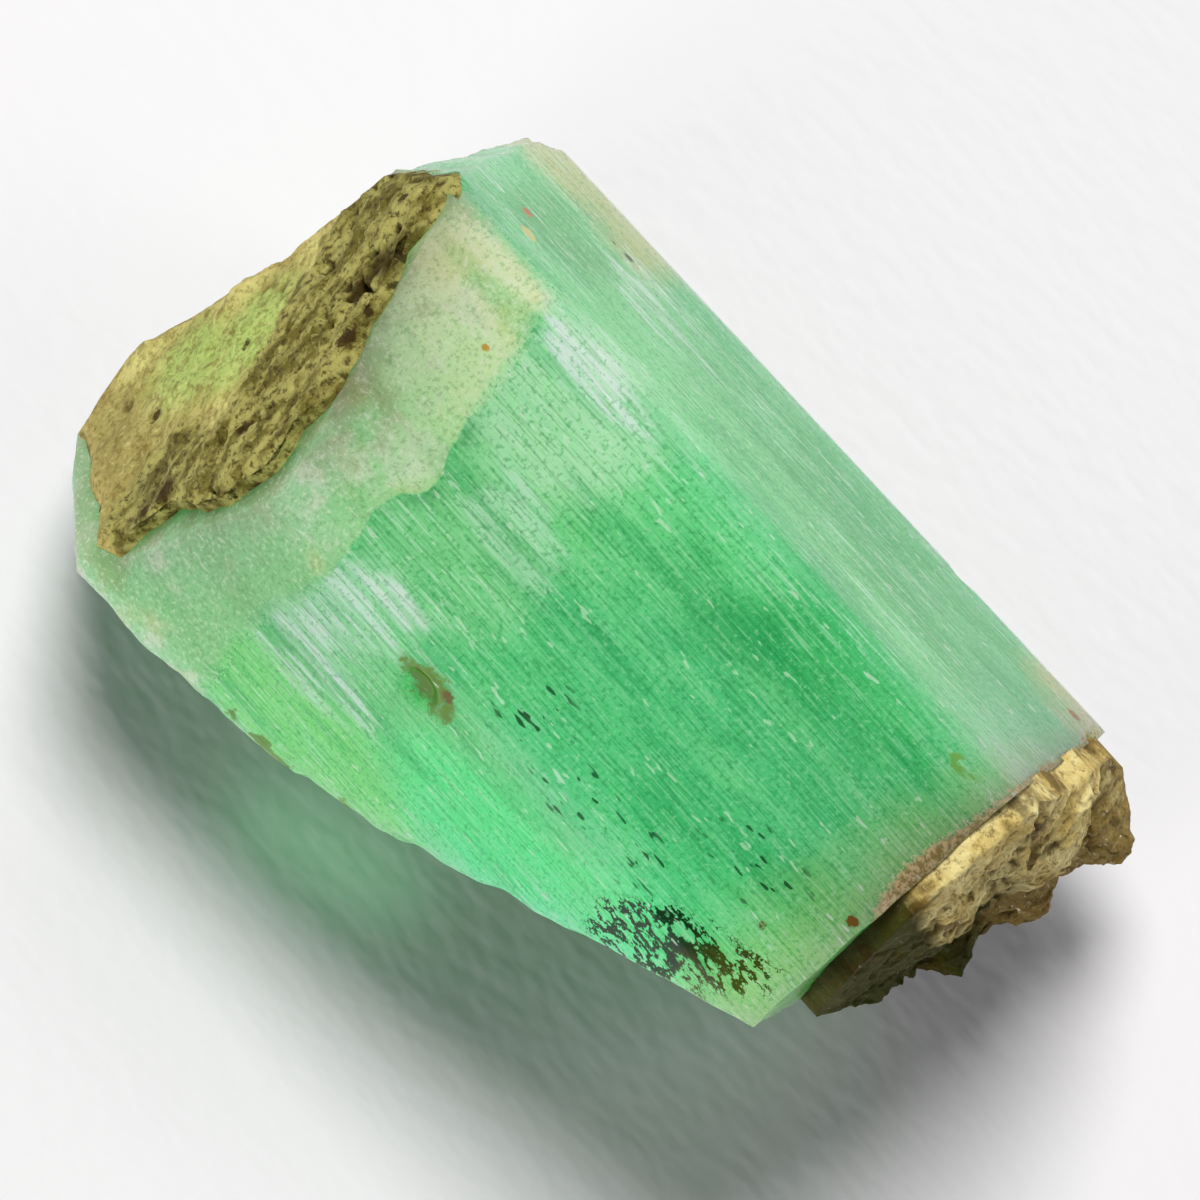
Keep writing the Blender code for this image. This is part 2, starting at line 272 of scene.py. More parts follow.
def skin_distance(point):
    """How far inside the skin of rock a point lies, in mm: a lobed rim at the rock's end."""
    normal, distance = unit_plane(ROCK_END)
    lobe = 0.20 * np.exp(-((point[..., 1] - 0.9) / 0.6) ** 2)
    none = 0.22 * smooth(0.2, -0.6, point[..., 1])
    ragged = 0.16 * rough(point, 0.6, 33, octaves=3)
    return point @ normal - distance + 0.10 + lobe - none + ragged


def frost_height(point):
    """Height of the frosted layer: a step, with lumps and grains on it."""
    lumps = FROST_LUMPS * rough(point, 0.5, 35)
    return FROST_RELIEF + lumps + FROST_GRAINS * rough(point, 0.2, 36, octaves=2)


def chip_depth(point):
    """Depth of the chips and pits at a point: round bowls, squeezed to three radii."""
    depth = np.zeros(point.shape[:-1])
    for middle, radii, deepest in CHIPS:
        away = ((point - middle) / radii) ** 2
        depth = np.maximum(depth, deepest * smooth(1, 0.25, away.sum(-1)))
    return depth


# %% [markdown]
# ## From planes to a surface
#
# Along a ray from the prism's axis, each plane is met at its own distance, and the nearest
# one is the surface. A soft minimum of all distances rounds the crests by a hair, as
# handling does. Relief is added before the minimum, so crests wander as real ones do.

# %% Reach of the prism's sides
CREST_SOFTNESS, CREST_WIDTH = 0.09, 0.12
UPPER_FACES = (0, 5)
BREAK_WAVES, BREAK_RIDGES = 0.16, 0.22
NEVER = 99.0
break_planes = [unit_plane(LONG_BREAK), unit_plane(UNDERCUT)]


def soft_minimum(distances):
    """Smallest of the distances in the first axis, rounded where two are nearly equal."""
    least = distances.min(0)
    return least - CREST_SOFTNESS * np.log(np.exp((least - distances) / CREST_SOFTNESS).sum(0))


def meet(gap, facing, least=0.05):
    """How far along a ray a plane is met: its gap by the share of the ray that faces it."""
    return np.where(facing > least, gap / np.maximum(facing, least), NEVER)


def side_reach(x, angle):
    """Distance from the axis to the sides, the least over all side planes, and a crest mask."""
    ray = np.stack([np.zeros_like(angle), np.cos(angle), np.sin(angle)], -1)
    flat = []
    for face_angle, taper in zip(FACE_ANGLES, (0, SIDE_TAPER, SIDE_TAPER, 0, 0, 0)):
        flat.append(meet(APOTHEM + taper * x, np.cos(angle - face_angle)))
    for normal, distance in break_planes:
        flat.append(meet(distance - normal[0] * x, ray @ normal))
    flat = np.array(flat)
    point = ray * flat.min(0)[..., None]
    point[..., 0] = x
    frost = smooth(-0.10, 0.10, frost_distance(point))
    for face, face_angle in enumerate(FACE_ANGLES):
        across = -point[..., 1] * math.sin(face_angle) + point[..., 2] * math.cos(face_angle)
        growth = striae(face, across, x) * (1 - 0.75 * frost)
        if face in UPPER_FACES:
            growth = growth + frost_height(point) * frost
            growth = growth + SKIN_RELIEF * smooth(-0.05, 0.15, skin_distance(point))
        flat[face] += growth / np.maximum(np.cos(angle - face_angle), 0.3)
    for index in range(len(FACE_ANGLES), len(flat)):
        flat[index] += BREAK_WAVES * rough(point, 2.0, 50 + index)
        flat[index] += BREAK_RIDGES * rough(point * (0.5, 1.0, 1.0), 0.5, 60 + index)
    crest = np.diff(np.sort(flat, axis=0)[:2], axis=0)[0]
    return soft_minimum(flat) - chip_depth(point), np.exp(-crest / CREST_WIDTH)


# %% [markdown]
# ## The two ends
#
# An end is a surface x over the places (y, z). The slanted end is the furthest in of
# several breaks, and it lies deeper under the crust, so the crust's outline is needed here
# already: a closed line in the break's plane. The other end is one rough plane.

# %% Reach of the ends
END_WAVES, END_GRAINS, ROCK_END_WAVES = 0.10, 0.07, 0.06
BARE_INSET, CRUST_INSET = 0.02, 0.28
CRUST_MIDDLE = np.array([-5.723, -1.024, 2.482])
CRUST_OUTLINE = np.array([
    (3.52, -3.41), (3.08, -3.85), (2.73, -3.73), (2.11, -3.39), (1.24, -3.64), (0.71, -3.53),
    (0.18, -3.74), (-0.25, -3.71), (-1.05, -3.23), (-1.79, -3.08), (-2.12, -2.54), (-2.39, -2.17),
    (-2.50, -1.30), (-2.51, -0.65), (-2.97, 0.03), (-3.34, 0.32), (-3.60, 0.44), (-3.09, 1.18),
    (-2.66, 1.54), (-2.23, 2.29), (-1.80, 2.95), (-1.45, 3.90), (-0.82, 4.10), (-0.18, 3.60),
    (0.46, 3.10), (1.00, 2.50), (1.40, 2.10), (1.60, 1.30), (1.90, 0.90), (2.20, 0.50),
    (2.50, 0.10), (2.80, -0.50), (3.10, -0.90), (3.30, -1.20), (3.60, -1.60), (3.80, -1.99),
    (3.80, -2.86),
]) + (-0.10, 1.20)


def plane_x(plane, y, z, relief=0.0):
    """Where a line along the axis at (y, z) meets an end plane, with relief on the plane."""
    normal, distance = unit_plane(plane)
    return (distance + relief - normal[1] * y - normal[2] * z) / normal[0]


def crust_axes():
    """A middle on the slanted plane, its normal, and two directions in the plane."""
    normal, distance = unit_plane(SLANTED_END)
    middle = CRUST_MIDDLE + normal * (distance - CRUST_MIDDLE @ normal)
    along = np.cross(normal, (0, 0, 1))
    along /= np.linalg.norm(along)
    return middle, normal, along, np.cross(normal, along)


def outline_reach(corners, turn):
    """Reach of a closed outline from its middle, by the direction in the plane."""
    angle = np.arctan2(corners[:, 1], corners[:, 0]) % (2 * math.pi)
    return np.interp(turn, angle, np.hypot(corners[:, 0], corners[:, 1]), period=2 * math.pi)


def inside_crust(point):
    """How far inside the crust's outline a point lies, in mm, seen square to its plane."""
    middle, _, along, down = crust_axes()
    a, d = (point - middle) @ along, (point - middle) @ down
    return outline_reach(CRUST_OUTLINE, np.arctan2(d, a)) - np.hypot(a, d)


def crust_inset(point):
    """Depth that the crust takes off the slanted end: none outside it, most well inside."""
    return BARE_INSET + CRUST_INSET * smooth(-0.05, 0.25, inside_crust(point))


def slanted_end_x(y, z):
    """The end at -X: the nearest of its breaks, with a step that leaves the front standing."""
    guess = np.stack([np.full_like(y, -6.5), y, z], -1)
    bumps = END_WAVES * rough(guess, 1.5, 81) + END_GRAINS * rough(guess, 0.55, 82)
    under_crust = plane_x(SLANTED_END, y, z, -crust_inset(guess))
    stepped = np.minimum(plane_x(BACK_OF_END, y, z, bumps), plane_x(STEP_IN_END, y, z))
    others = [plane_x(p, y, z, bumps) for p in (LOWER_END, UPPER_CORNER, FRONT_CORNER)]
    return np.maximum.reduce([under_crust, stepped, *others])


def rock_end_x(y, z):
    """The end at +X: one rough plane."""
    guess = np.stack([np.full_like(y, 6.5), y, z], -1)
    return plane_x(ROCK_END, y, z, ROCK_END_WAVES * rough(guess, 1.0, 91))


# %% [markdown]
# ## The crystal's skin
#
# The columns of the mesh run along the prism, like the striae, from the rim of one end to
# the rim of the other. One lies exactly on every crest, so the crests stay crisp, and the
# faces that show get three times as many as the others. Rings close both ends.

# %% Make the emerald
COLUMNS_PER_FACE = {60: 110, 0: 110, 300: 34, 240: 14, 180: 40, 120: 110}
BODY_ROWS, SLANTED_RINGS, ROCK_RINGS = 140, 44, 26


def column_angles():
    """Angles of the columns: even steps across each face, measured round the axis."""
    angles = []
    for start, columns in COLUMNS_PER_FACE.items():
        across = (np.arange(columns) / columns - 0.5) * FACE_WIDTH
        angles.append(np.radians(start + 30) + np.arctan2(across, APOTHEM))
    return np.concatenate(angles)


def rim_x(angle, end_x, x):
    """Where each column meets an end: the two surfaces are solved against each other."""
    for _ in range(12):
        reach, _ = side_reach(x, angle)
        x = 0.5 * x + 0.5 * end_x(reach * np.cos(angle), reach * np.sin(angle))
    return x


def cap(angle, rim, end_x, rings):
    """Rings over an end, from its middle out to the rim."""
    reach, crest = side_reach(rim, angle)
    share = (np.arange(rings) / rings)[:, None] ** 0.8
    y, z = share * reach * np.cos(angle), share * reach * np.sin(angle)
    return np.stack([end_x(y, z), y, z], -1), share**8 * crest


def emerald_rings():
    """All rings of the crystal: one end, the body along the axis, and the other end."""
    angle = np.sort(column_angles() % (2 * math.pi))
    left = rim_x(angle, slanted_end_x, np.full_like(angle, -6.0))
    right = rim_x(angle, rock_end_x, np.full_like(angle, 6.5))
    share = np.linspace(0, 1, BODY_ROWS)[:, None]
    x = left + share * (right - left)
    angles = np.broadcast_to(angle, x.shape)
    reach, crest = side_reach(x, angles)
    body = np.stack([x, reach * np.cos(angles), reach * np.sin(angles)], -1)
    start, start_crest = cap(angle, left, slanted_end_x, SLANTED_RINGS)
    end, end_crest = cap(angle, right, rock_end_x, ROCK_RINGS)
    rings = np.concatenate([start, body, end[::-1]])
    return rings, np.concatenate([start_crest, crest, end_crest[::-1]])


crystal, crest = emerald_rings()
emerald = closed_skin("emerald", crystal, {"skin": skin_distance(crystal), "crest": crest})
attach(emerald, "root")
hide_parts("emerald_crystal")

# %% [markdown]
# ## The brown crust
#
# The slanted end wears a skin of weathered mica rock, four tenths of a millimetre thick.
# It is a plate in the plane of the break, which reaches out to a drawn outline, or to the
# nearest plane that bounds the prism. Its outer side is granular, pitted and has ledges
# along the rock's layers.

# %% Make the crust
CRUST_THICKNESS = 0.42
CRUST_SPOKES, CRUST_RINGS, WALL_ROWS, BACK_RINGS = 440, 170, 6, 8
BAND_WIDTH = 2.7


def crust_planes_reach(middle, ray):
    """Reach along rays in the crust's plane to the nearest of the planes that bound it."""
    planes = [((0, math.cos(a), math.sin(a)), APOTHEM + 0.02) for a in FACE_ANGLES]
    planes += [UPPER_CORNER, LOWER_END, FRONT_CORNER, LONG_BREAK, BACK_OF_END, STEP_IN_END]
    planes = [unit_plane(plane) for plane in planes]
    *plain, back, step = [meet(d - middle @ n, ray @ n, least=0.02) for n, d in planes]
    return np.min([*plain, np.maximum(back, step)], axis=0)


def crust_relief(point, along, down, below):
    """Height of the crust: grains, ledges along the rock's layers, and pits.

    The part near the upper edge is rougher than the rest, which is smooth and glazed.
    """
    band = smooth(BAND_WIDTH + 0.5, BAND_WIDTH - 0.6, below + 0.5 * rough(point, 0.8, 26))
    layers = np.stack([point @ along / 1.6, point @ down / 0.30, np.zeros(point.shape[:-1])], -1)
    ridges = 0.10 * rough(layers, 1.0, 21, octaves=3)
    pits = smooth(0.26, 0.55, rough(point, 0.24, 22, octaves=2))
    grains = 0.05 * rough(point, 0.13, 24, octaves=2)
    height = 0.16 * rough(point, 0.9, 23) + (0.45 + 0.55 * band) * (ridges + grains)
    return height - (0.04 + 0.16 * band) * pits, band


def plate_rings(front):
    """A plate ring by ring: its share of the reach, its share of the depth, 1 in front.

    The front runs out to the rim, the wall goes down, and the back runs in again.
    """
    share = np.concatenate([front, np.ones(WALL_ROWS), np.linspace(1, 0, BACK_RINGS)])
    wall = np.linspace(0, 1, WALL_ROWS + 1)[1:]
    sunk = np.concatenate([np.zeros(len(front)), wall, np.ones(BACK_RINGS)])
    return share[:, None], sunk[:, None], (sunk == 0)[:, None]


def crust_rings():
    """Rings of the crust, in the plane of the slanted end."""
    middle, normal, along, down = crust_axes()
    turn = np.linspace(0, 2 * math.pi, CRUST_SPOKES, endpoint=False)
    ray = np.cos(turn)[:, None] * along + np.sin(turn)[:, None] * down
    drawn = outline_reach(CRUST_OUTLINE, turn) + 0.09 * rough(ray * 6, 0.8, 25)
    ragged = 0.14 * rough(ray * 6, 1.0, 28)
    share, sunk, front = plate_rings(np.arange(CRUST_RINGS) / (CRUST_RINGS - 1))
    rings = []
    for out, down_by in zip(share, sunk * CRUST_THICKNESS):
        level = middle - normal * down_by
        reach = np.minimum(drawn, crust_planes_reach(level, ray) - 0.04 + ragged)
        rings.append(level + ray * (out * reach)[:, None])
    rings = np.array(rings)
    upper_edge = np.min(CRUST_OUTLINE[:, 1])
    below = (rings - middle) @ down - upper_edge
    relief, band = crust_relief(rings, along, down, below)
    edge = (1 - share) * drawn
    raised = relief - 0.10 * smooth(0.25, 0.0, edge)
    rings += normal * (raised * front)[..., None]
    return rings, {"band": band, "edge": edge, "relief": relief}


crust = closed_skin("crust", *crust_rings())
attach(crust, "root")
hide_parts("brown_crust")

# %% [markdown]
# ## The lump of host rock
#
# The other end still carries the rock that the crystal grew in: mica and quartz, weathered
# to a gritty tan. It is a height field over the broken end, drawn as rings round its
# middle: a thin base, a few bumps, and roughness in three sizes, lowered at the rim.

# %% Make the host rock
ROCK_OUTLINE = np.array([
    (4.55, 5.20), (3.65, 6.85), (2.65, 8.45), (1.50, 8.78), (0.60, 8.74), (0.05, 8.35),
    (-0.60, 7.50), (-1.10, 6.40), (-1.05, 4.60), (-0.60, 3.00), (0.05, 1.70), (1.00, 0.75),
    (2.30, 0.35), (3.35, 0.55), (4.30, 1.60), (4.90, 2.80), (5.00, 4.10),
])
ROCK_MIDDLE = np.array([2.10, 4.60])
ROCK_BUMPS = (
    ((4.55, 2.75), (0.95, 1.25), 1.50),
    ((3.10, 5.40), (0.95, 2.10), 0.55),
    ((3.10, 0.95), (0.85, 1.10), 1.20),
    ((0.95, 6.20), (0.90, 1.70), 0.40),
    ((1.60, 0.85), (0.55, 0.65), 1.05),
    ((0.25, 2.60), (0.70, 1.10), 0.25),
)
ROCK_BASE, ROCK_LEAST, ROCK_GAP, ROCK_ROOT = 0.24, 0.10, 0.25, -0.06
ROCK_RELIEF, CREASE_DEPTH = 0.16, 0.22
GRIT_SEEDS = (61, 62, 63)
ROCK_SPOKES, ROCK_FRONT_RINGS = 460, 160
CREASE = np.array([(0.0, 0.9), (3.0, 1.3), (5.0, 1.9), (6.5, 2.3), (8.8, 2.9)])


def rock_height(y, height, share):
    """Thickness of the rock: base, bumps, a crease and roughness, less towards its rim; and the
    crease as a mask of painted shade.
    """
    total = np.full(y.shape, ROCK_BASE)
    for (cy, cz), (ry, rz), bump in ROCK_BUMPS:
        total = total + bump * np.exp(-(((y - cy) / ry) ** 2) - ((height - cz) / rz) ** 2)
    point = np.stack([np.zeros_like(y), y, height], -1)
    past = y - np.interp(height, CREASE[:, 0], CREASE[:, 1]) + 0.15 * rough(point, 0.7, 46)
    crease = np.exp(-((past - 0.14) / 0.16) ** 2) - 0.5 * np.exp(-((past + 0.16) / 0.14) ** 2)
    total += ROCK_RELIEF * rough(point, 1.1, 41, octaves=2) - CREASE_DEPTH * crease
    rim = np.sqrt(1 - 0.85 * np.minimum(share, 1) ** 4)
    return np.maximum(total, ROCK_LEAST) * rim, np.maximum(crease, 0)


def rock_grit(rings):
    """Loose grit in all three directions: coarse lumps and fine grains."""
    return np.stack([
        0.16 * rough(rings, 0.60, seed) + 0.09 * rough(rings, 0.17, seed + 9, octaves=2)
        for seed in GRIT_SEEDS
    ], -1)


def rock_rings():
    """Rings of the rock: a plate on the broken end, thick where the lump stands out."""
    turn = np.linspace(0, 2 * math.pi, ROCK_SPOKES, endpoint=False)
    circle = np.stack([np.cos(turn), np.sin(turn), np.zeros_like(turn)], -1)
    reach = outline_reach(ROCK_OUTLINE - ROCK_MIDDLE, turn)
    reach = reach * (1 + 0.035 * rough(circle * 4, 0.5, 44))
    inwards = 1 - np.arange(ROCK_FRONT_RINGS) / (ROCK_FRONT_RINGS - 1)
    share, sunk, in_front = plate_rings(1 - inwards**1.4)
    y = ROCK_MIDDLE[0] + share * reach * np.cos(turn)
    height = ROCK_MIDDLE[1] + share * reach * np.sin(turn)
    thickness, crevice_shade = rock_height(y, height, share)
    front = ROCK_GAP + thickness
    above = front + (ROCK_ROOT - front) * sunk
    z = height - APOTHEM
    rings = np.stack([plane_x(ROCK_END, y, z) + above, y, z], -1)
    grit = rock_grit(rings)
    loose = in_front * smooth(1.02, 0.9, share)
    # Painted shade: the crease and the low dents of the grit make a mask that darkens the colour.
    crevice_shade = np.maximum(0.8 * crevice_shade, smooth(-0.02, -0.09, grit[..., 0]))
    return rings + grit * loose[..., None], {"crevice_shade": crevice_shade}


rock = closed_skin("rock", *rock_rings())
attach(rock, "root")
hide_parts("host_rock")

# %% [markdown]
# ## A small language for materials
#
# Node trees are easier to read as sums. A Wire wraps one socket, and +, - and * on wires
# add Math nodes. A Finish holds one material's tree and adds any other node: its settings
# first, then the values or wires of its sockets.


# %% Wires and finishes
def arithmetic(operation, turned=False):
    """A method of wires that adds a Math node; turned swaps its two values."""

    def method(self, other):
        values = {0: other, 1: self} if turned else {0: self, 1: other}
        return self.finish.node("ShaderNodeMath", {"operation": operation}, values)

    return method


class Wire:
    """One output socket, on which arithmetic adds Math nodes."""

    def __init__(self, finish, socket):
        self.finish, self.socket = finish, socket

    __add__ = __radd__ = arithmetic("ADD")
    __sub__, __rsub__ = arithmetic("SUBTRACT"), arithmetic("SUBTRACT", turned=True)
    __mul__ = __rmul__ = arithmetic("MULTIPLY")
    at_least, at_most = arithmetic("MAXIMUM"), arithmetic("MINIMUM")

    def step(self, low, high):
        """0 at low, 1 at high, and an S curve between; low may be above high."""
        settings = {"interpolation_type": "SMOOTHSTEP"}
        if low <= high:
            return self.finish.node("ShaderNodeMapRange", settings, {0: self, 1: low, 2: high})
        return 1 - self.step(high, low)


class Finish:
    """One material: a Principled shader and the nodes that feed it."""

    def __init__(self, name):
        self.material = bpy.data.materials.new(name)
        self.material.use_nodes = True
        self.tree = self.material.node_tree
        self.shader = self.tree.nodes["Principled BSDF"]
        place = self.node("ShaderNodeTexCoord", output="Object")
        scaled = self.vector_math("SCALE", {0: place, "Scale": 1 / MM})
        self.place = self.vector_math("ADD", {0: scaled, 1: tuple(-PRISM_MIDDLE)})
        split = self.node("ShaderNodeSeparateXYZ", {}, {0: self.place}).socket.node
        self.x, self.y, self.z = (Wire(self, split.outputs[k]) for k in range(3))

    def node(self, kind, settings=None, values=None, output=0):
        """Adds a node: settings are its properties, values feed its sockets."""
        made = self.tree.nodes.new(kind)
        for name, value in (settings or {}).items():
            setattr(made, name, value)
        for name, value in (values or {}).items():
            self.feed(made.inputs[name], value)
        return Wire(self, made.outputs[output])

    def feed(self, socket, value):
        if isinstance(value, Wire):
            self.tree.links.new(value.socket, socket)
        else:
            socket.default_value = value

    def surface(self, values):
        """Gives values or wires to the shader's own sockets, by their names."""
        for name, value in values.items():
            self.feed(self.shader.inputs[name], value)

    def vector_math(self, operation, values, output=0):
        return self.node("ShaderNodeVectorMath", {"operation": operation}, values, output)

    def colour(self, share, *colours):
        """A mix of two colours, each a wire or a tuple from 0 to 255, by a share from 0 to 1."""
        first, second = (c if isinstance(c, Wire) else shade(*c) for c in colours)
        values = {0: share, 6: first, 7: second}
        return self.node("ShaderNodeMix", {"data_type": "RGBA"}, values, output=2)

    def layers(self, base, *layers):
        """A base colour under layers, each a share from 0 to 1 and a colour."""
        for share, colour in layers:
            base = self.colour(share, base, colour)
        return base

    def stretched(self, x, y, z):
        """The place in mm, stretched by a factor along each axis."""
        return self.vector_math("MULTIPLY", {0: self.place, 1: (x, y, z)})

    def noise(self, scale, detail, roughness=0.5, place=None):
        """Noise from 0 to 1, its scale in features per mm of the place that it reads."""
        values = {"Scale": scale, "Detail": detail, "Roughness": roughness}
        return self.node("ShaderNodeTexNoise", {}, {"Vector": place or self.place, **values})

    def field(self, name, output="Fac"):
        """A value that the mesh carries at its points, or with the output Color a colour."""
        return self.node("ShaderNodeAttribute", {"attribute_name": name}, output=output)

    def tone(self, name):
        return self.field(name, "Color")

    def near(self, middle, radii):
        """1 at a middle, 0 on the ellipsoid with those radii, and less outside it."""
        offset = self.vector_math("SUBTRACT", {0: self.place, 1: middle})
        share = self.vector_math("DIVIDE", {0: offset, 1: radii})
        return 1 - self.vector_math("LENGTH", {0: share}, output="Value")

    def bump(self, height, strength, distance):
        """Bends the normal by a height; the distance is in mm."""
        values = {"Height": height, "Strength": strength, "Distance": distance * MM}
        self.surface({"Normal": self.node("ShaderNodeBump", {}, values)})

    def put_on(self, piece):
        piece.data.materials.clear()
        piece.data.materials.append(self.material)
        print(self.material.name, "is made of", len(self.tree.nodes), "nodes")


def linear(red, green, blue):
    """A colour as a screen shows it, from 0 to 255, in the linear values of light."""
    screen = np.array([red, green, blue]) / 255
    return np.where(screen <= 0.04045, screen / 12.92, ((screen + 0.055) / 1.055) ** 2.4)


def shade(red, green, blue):
    """The same colour as a shader's socket takes it, with an opacity of 1."""
    return (*linear(red, green, blue).tolist(), 1.0)


# %% [markdown]
# ## The colours that the emerald carries
#
# The crystal's colour is zoned: deep green in the middle, paler towards the ends, milky with a
# painted sheen highlight where cracks near the surface catch the light, painted brighter on the
# lower facets as a painted glow of light passing through, and yellow where rock has stained it.
# All of that is broader than the mesh's own spacing, so numpy works it out once per point and
# the mesh carries it. The shader adds only fine grain, which keeps the render quick.
#
# A zone is a middle, three radii in mm, a colour and how strongly it covers. A mark has a
# raggedness instead. Dark moss-like threads fill a long oval and a knot at the lower corner.

# %% Zones, sheens and marks
BODY_ZONES_AND_GLOW = (
    ((3.6, -0.6, 4.0), (5.0, 3.4, 5.0), (98, 210, 142), 1.0),
    ((1.4, -1.2, 4.4), (2.2, 1.6, 3.0), (108, 216, 148), 0.5),
    ((2.3, 1.9, 4.3), (3.0, 1.7, 1.6), (76, 188, 116), 0.9),
    ((5.0, 1.6, 4.3), (2.2, 1.8, 1.6), (84, 196, 124), 0.6),
    ((0.6, 1.6, 4.2), (2.4, 1.8, 2.0), (130, 228, 158), 0.7),
    ((2.6, 4.2, 1.6), (6.0, 1.7, 2.9), (82, 190, 112), 0.9),
    ((-1.8, 1.4, 4.4), (2.2, 2.0, 2.0), (190, 242, 194), 0.9),
    ((-1.0, -1.3, 4.4), (1.8, 1.6, 2.0), (148, 224, 160), 0.8),
    ((-4.2, 4.0, 2.4), (1.4, 1.6, 2.2), (90, 182, 104), 0.8),
    # The last three zones are painted glow: the lower facets made brighter for light that passes
    # through the crystal.
    ((-1.0, -4.4, 1.2), (3.6, 1.3, 2.2), (138, 238, 136), 0.9),
    ((2.6, -3.5, 2.6), (3.2, 1.2, 2.0), (104, 255, 160), 0.95),
    ((4.8, -3.0, 3.4), (1.8, 1.0, 1.6), (104, 255, 160), 0.9),
)
# Painted sheen highlights: pale milky patches where the skin catches the light, painted into the
# colour.
SHEEN_HIGHLIGHTS = (
    ((-1.90, -3.55, 2.55), (1.5, 0.8, 1.3), 1.0),
    ((-1.50, -2.75, 3.90), (1.2, 0.7, 1.0), 0.9),
    ((-1.90, 2.15, 4.40), (1.2, 0.7, 0.8), 1.0),
    ((-2.60, 4.00, 1.85), (1.1, 0.8, 1.0), 0.8),
    ((-0.70, -0.45, 4.40), (1.1, 0.8, 0.8), 0.5),
)
MOSS_ALONG, MOSS_ACROSS = np.array((0.88, 0.47, 0.0)), np.array((-0.47, 0.88, 0.0))
MOSS_MIDDLE, MOSS_RADII = (3.5, -5.02), (1.75, 0.75)
MOSS_KNOT = ((5.76, -2.68, 4.15), (0.50, 0.26, 0.50))
MARKS = (
    ((0.14, -2.83, 3.90), (0.62, 0.40, 0.50), (104, 140, 30), 0.4),
    ((0.46, -2.70, 4.05), (0.14, 0.09, 0.18), (112, 84, 0), 0.9),
    ((-0.14, -2.72, 4.00), (0.16, 0.08, 0.16), (116, 88, 0), 0.8),
    ((6.35, 2.24, 4.40), (0.26, 0.14, 0.60), (120, 172, 84), 1.6),
    ((-4.68, 3.37, 2.96), (0.15, 0.12, 0.15), (196, 104, 24), 0.3),
    ((-4.30, 3.05, 3.50), (0.22, 0.10, 0.16), (206, 206, 120), 0.5),
    ((-3.17, 1.18, 4.40), (0.10, 0.07, 0.20), (206, 160, 70), 0.3),
    ((-3.86, 4.36, 1.25), (0.14, 0.07, 0.10), (34, 70, 40), 0.5),
    ((-3.54, 4.38, 1.21), (0.16, 0.07, 0.10), (34, 70, 40), 0.5),
    ((6.20, -1.53, 4.40), (0.15, 0.13, 0.20), (92, 70, 16), 0.8),
    ((7.05, -0.49, 4.40), (0.12, 0.09, 0.20), (110, 70, 18), 0.8),
    ((6.17, 4.77, 0.54), (0.18, 0.12, 0.16), (150, 96, 30), 0.5),
    ((-1.10, -4.75, 0.60), (1.00, 0.16, 0.30), (92, 132, 46), 1.3),
    ((0.60, -4.45, 0.80), (0.70, 0.14, 0.28), (110, 160, 60), 1.3),
)
SPECK_ZONES = (
    ((2.9, -2.3, 4.4), (1.3, 0.8, 1.2)), ((4.2, -2.2, 4.4), (1.2, 0.7, 1.2)),
    ((5.5, -1.0, 4.4), (1.4, 0.9, 0.8)), ((1.6, -2.0, 4.4), (1.0, 1.0, 1.2)),
)

print(len(BODY_ZONES_AND_GLOW), "zones,", len(SHEEN_HIGHLIGHTS), "sheens and", len(MARKS), "marks")

# %% [markdown]
# ## From zones to fields
#
# A field starts with how near a point is to some middle, and noise is added before the
# threshold is taken, so that edges wander as they do in stone. Colours are painted in
# layers, each over the ones before, with the share that it covers at every point.


# %% Fields of colour
def near(point, middle, radii):
    """1 at a middle, 0 on the ellipsoid with those radii, and less outside it."""
    return 1 - np.sqrt((((point - middle) / radii) ** 2).sum(-1))


def painted(base, *layers):
    """A base colour under layers, each a share from 0 to 1 at every point and a colour."""
    tone = linear(*base)
    for share, colour in layers:
        tone = tone + share[..., None] * (linear(*colour) - tone)
    return tone


def crispness(point):
    """1 where the frosted layer ends in a clean step, and 0 where it fades away."""
    return smooth(-3.4, -2.6, point[..., 1]) * smooth(0.9, 0.1, point[..., 1])


def emerald_tone(point, frost, cloud, wisps):
    """The bare crystal's colour: zones with a painted glow on the lower facets, then wisps,
    painted shade along the frost's step, and the rock's stain.
    """
    zones = [
        (weight * smooth(0.0, 0.55, near(point, middle, radii) + 0.22 * cloud), colour)
        for middle, radii, colour, weight in BODY_ZONES_AND_GLOW
    ]
    # Painted shade: a dark line along the frosted layer's step, only where the step is crisp.
    step_shade = np.exp(-((frost + 0.12) / 0.14) ** 2) * crispness(point) * smooth(-0.2, 0.3, wisps)
    x, y, z = np.moveaxis(point, -1, 0)
    rim = smooth(-1.6, -0.4, 1.2 * cloud - z) * smooth(3.9, 4.5, y + 0.4 * cloud)
    rim = rim * np.maximum(smooth(-2.6, -3.6, x), smooth(4.6, 5.6, x))
    return painted(
        (122, 218, 142),
        *zones,
        (0.40 * smooth(0.05, 0.45, wisps), (140, 230, 164)),
        (0.40 * smooth(-0.05, -0.45, wisps), (40, 176, 104)),
        # painted shade along the frost's step
        (0.5 * step_shade, (60, 150, 90)),
        (0.6 * smooth(5.4, 7.2, x + 0.8 * cloud - 0.12 * y), (164, 206, 116)),
        (0.8 * rim, (206, 200, 138)),
    )


